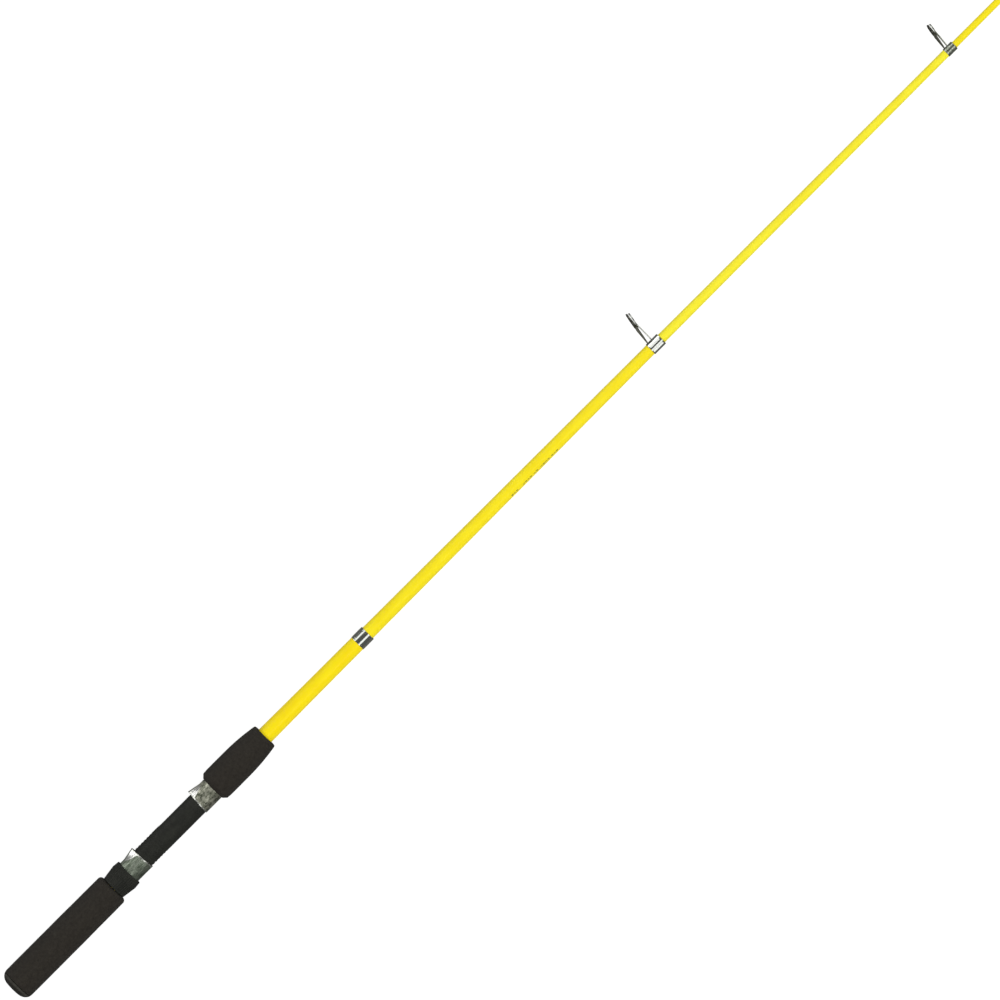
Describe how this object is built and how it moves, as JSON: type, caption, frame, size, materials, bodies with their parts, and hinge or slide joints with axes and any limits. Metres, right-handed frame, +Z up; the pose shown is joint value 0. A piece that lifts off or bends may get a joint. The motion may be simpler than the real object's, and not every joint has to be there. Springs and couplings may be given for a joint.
{
  "type": "spinning rod",
  "caption": "Telescopic spinning rod pulled out: foam grips, screw reel seat with hooded foot clamps, glossy tapered sections, chrome collars and raised line guides.",
  "frame": {"origin": "centre of the butt cap's flat end face, on the rod's axis", "axes": "+X along the rod from the butt to the tip, +Y towards the line guides and the reel's foot, +Z up as the rod lies on its side"},
  "size_m": [1.6752, 0.0473, 0.028],
  "materials": {
    "yellow_lacquer": "glossy lacquer on glass fibre",
    "black_foam": "matte closed-cell foam",
    "grey_foam": "matte foam",
    "black_plastic": "moulded, semi-matte",
    "polished_steel": "polished sheet steel",
    "chrome": "bright chrome plate",
    "dark_ceramic": "polished dark ceramic"
  },
  "bodies": {
    "handle": {"section_1_blank": "yellow_lacquer", "section_1_ferrule": "chrome", "rear_grip": "black_foam", "foregrip": "black_foam", "reel_seat_barrel": "black_plastic", "rear_arbor": "grey_foam", "front_arbor": "grey_foam", "fixed_hood": "polished_steel", "butt_bushing": "black_plastic"},
    "sliding_hood": {"sliding_hood": "polished_steel"},
    "lock_nut": {"lock_nut": "black_plastic"},
    "rattle_pad": {"rattle_pad": "grey_foam"},
    "butt_cap": {"butt_cap": "black_plastic"},
    "section_2": {"section_2_blank": "yellow_lacquer", "guide_1_collar": "chrome", "guide_1_frame": "chrome", "guide_1_brace": "chrome", "guide_1_ring": "dark_ceramic"},
    "section_3": {"section_3_blank": "yellow_lacquer", "guide_2_collar": "chrome", "guide_2_frame": "chrome", "guide_2_brace": "chrome", "guide_2_ring": "dark_ceramic"},
    "section_4": {"section_4_blank": "yellow_lacquer", "guide_3_collar": "chrome", "guide_3_frame": "chrome", "guide_3_brace": "chrome", "guide_3_ring": "dark_ceramic"},
    "section_5": {"section_5_blank": "yellow_lacquer", "tip_top_tube": "chrome", "tip_top_frame": "chrome", "tip_top_ring": "dark_ceramic"}
  },
  "joints": [
    {"name": "section_2_slide", "type": "slide", "parent": "handle", "child": "section_2", "axis": [-1, 0, 0], "range_m": [0, 0.3117]},
    {"name": "section_3_slide", "type": "slide", "parent": "section_2", "child": "section_3", "axis": [-1, 0, 0], "range_m": [0, 0.314]},
    {"name": "section_4_slide", "type": "slide", "parent": "section_3", "child": "section_4", "axis": [-1, 0, 0], "range_m": [0, 0.3139]},
    {"name": "section_5_slide", "type": "slide", "parent": "section_4", "child": "section_5", "axis": [-1, 0, 0], "range_m": [0, 0.2985]},
    {"name": "hood_slide", "type": "slide", "parent": "handle", "child": "sliding_hood", "axis": [1, 0, 0], "range_m": [0, 0.022]},
    {"name": "nut_spin", "type": "hinge", "parent": "sliding_hood", "child": "lock_nut", "pos_m": [0.1113, 0, 0], "axis": [1, 0, 0], "range_deg": [0, 2641]},
    {"name": "butt_cap_slide", "type": "slide", "parent": "handle", "child": "rattle_pad", "axis": [-1, 0, 0], "range_m": [0, 0.01]},
    {"name": "butt_cap_spin", "type": "hinge", "parent": "rattle_pad", "child": "butt_cap", "pos_m": [0.0055, 0, 0], "axis": [-1, 0, 0], "range_deg": [0, 1801]}
  ],
  "couplings": [
    {"joint": "nut_spin", "follows": "hood_slide", "rad_per_m": 2094.4},
    {"joint": "butt_cap_spin", "follows": "butt_cap_slide", "rad_per_m": 3141.6}
  ]
}
